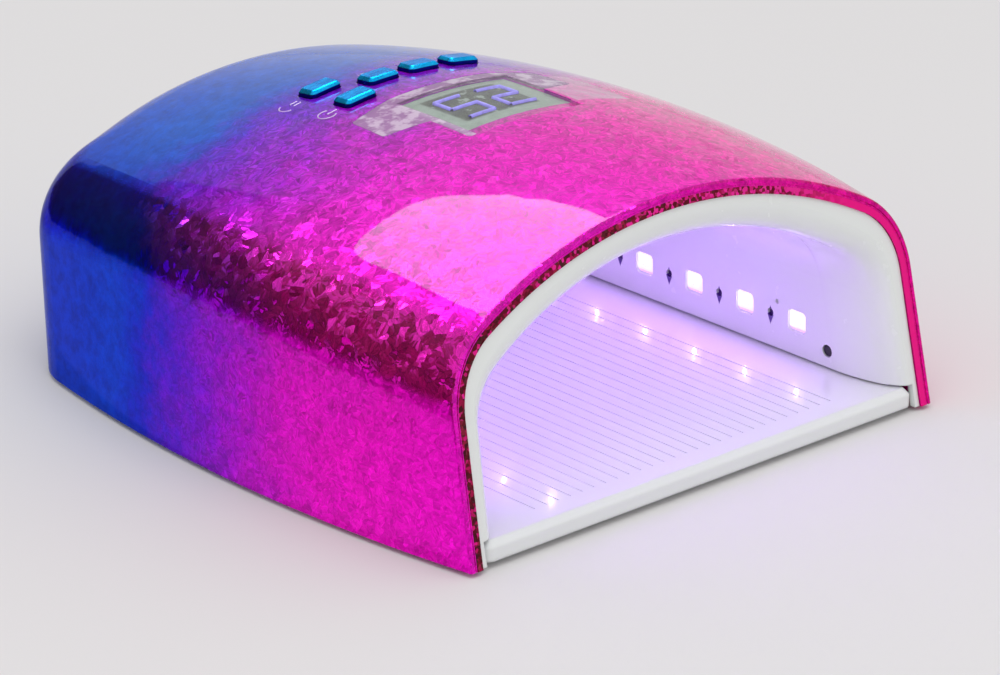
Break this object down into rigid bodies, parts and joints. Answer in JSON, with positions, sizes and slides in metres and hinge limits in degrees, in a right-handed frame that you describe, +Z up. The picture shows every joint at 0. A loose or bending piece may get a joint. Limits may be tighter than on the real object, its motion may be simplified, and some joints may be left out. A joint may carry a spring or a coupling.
{
  "type": "cordless gel nail lamp",
  "caption": "Domed cordless nail lamp with an open-fronted white hand cavity lit by side and roof lights, a grooved pull-out tray, a display window and push buttons on top.",
  "frame": {"origin": "on the table under the feet, in the middle of the width and depth", "axes": "+Y to the back, away from the hand opening; +X to the right seen from the front; +Z up"},
  "size_m": [0.2204, 0.2448, 0.1022],
  "materials": {
    "shell_gloss": "iridescent crackle print under a clear gloss coat, magenta at the front to blue at the back",
    "trim_crackle": "deep crimson crackle foil under clear gloss",
    "liner_white": "gloss white",
    "frame_white": "fine matte white",
    "rail_plastic": "smooth",
    "tray_white": "gloss white with fine grooves",
    "magnet_nickel": "nickel plated",
    "foot_rubber": "matte",
    "screw_steel": "zinc plated",
    "screw_dark": "black oxide",
    "display_lens": "frosted wings, clear window",
    "display_mask": "grey-green tint with dark figure fields",
    "display_glass": "polished",
    "black_plastic": "fine texture",
    "circuit_board": "solder mask",
    "chip_black": "moulded",
    "component_metal": "satin cans",
    "contact_brass": "polished",
    "cable_grey": "flat ribbon",
    "lead_red": "insulated wire",
    "cell_wrap": "shrink wrap",
    "strap_fabric": "woven strap",
    "sensor_black": "dark filter",
    "led_board": "white solder mask on aluminium",
    "led_light": "lit, near white with a violet edge",
    "spreader_aluminium": "plain",
    "button_metallic": "metallic teal coat",
    "plunger_plastic": "moulded"
  },
  "bodies": {
    "lamp": {"battery_cells": "cell_wrap", "battery_cradle": "black_plastic", "battery_leads": "lead_red", "battery_strap": "strap_fabric", "board_screws": "screw_steel", "bottom_frame": "frame_white", "button_switches": "black_plastic", "casing_screws": "screw_steel", "cell_links": "magnet_nickel", "control_board": "circuit_board", "control_cable": "cable_grey", "control_chips": "chip_black", "dc_jack": "black_plastic", "display_holder": "black_plastic", "display_lens": "display_lens", "display_mask": "display_mask", "display_panel": "display_glass", "frame_magnets": "magnet_nickel", "hand_sensor_emitter": "sensor_black", "hand_sensor_receiver": "sensor_black", "heat_spreader_left": "spreader_aluminium", "heat_spreader_rear": "spreader_aluminium", "heat_spreader_right": "spreader_aluminium", "heat_spreader_roof": "spreader_aluminium", "inner_liner": "liner_white", "jack_pin": "contact_brass", "led_board_left": "led_board", "led_board_rear": "led_board", "led_board_right": "led_board", "led_board_roof": "led_board", "leds_left": "led_light", "leds_rear": "led_light", "leds_right": "led_light", "leds_roof": "led_light", "liner_screws": "screw_steel", "outer_shell": "shell_gloss", "power_board": "circuit_board", "power_components": "component_metal", "rim_trim": "trim_crackle", "rubber_feet": "foot_rubber", "strip_screws": "screw_dark", "tray_rail_left": "rail_plastic", "tray_rail_right": "rail_plastic"},
    "tray": {"base_tray": "tray_white", "tray_magnets": "magnet_nickel"},
    "power": {"power_button": "button_metallic", "power_plunger": "plunger_plastic"},
    "low_heat": {"low_heat_button": "button_metallic", "low_heat_plunger": "plunger_plastic"},
    "timer_short": {"timer_short_button": "button_metallic", "timer_short_plunger": "plunger_plastic"},
    "timer_middle": {"timer_middle_button": "button_metallic", "timer_middle_plunger": "plunger_plastic"},
    "timer_long": {"timer_long_button": "button_metallic", "timer_long_plunger": "plunger_plastic"}
  },
  "joints": [
    {"name": "tray_slide", "type": "slide", "parent": "lamp", "child": "tray", "axis": [0, -1, 0], "range_m": [0, 0.18]},
    {"name": "power_press", "type": "slide", "parent": "lamp", "child": "power", "axis": [0, 0, -1], "range_m": [0, 0.0008], "stiffness_N_per_m": 1500},
    {"name": "low_heat_press", "type": "slide", "parent": "lamp", "child": "low_heat", "axis": [0, 0, -1], "range_m": [0, 0.0008], "stiffness_N_per_m": 1500},
    {"name": "timer_short_press", "type": "slide", "parent": "lamp", "child": "timer_short", "axis": [0, 0, -1], "range_m": [0, 0.0008], "stiffness_N_per_m": 1500},
    {"name": "timer_middle_press", "type": "slide", "parent": "lamp", "child": "timer_middle", "axis": [0, 0, -1], "range_m": [0, 0.0008], "stiffness_N_per_m": 1500},
    {"name": "timer_long_press", "type": "slide", "parent": "lamp", "child": "timer_long", "axis": [0, 0, -1], "range_m": [0, 0.0008], "stiffness_N_per_m": 1500}
  ]
}
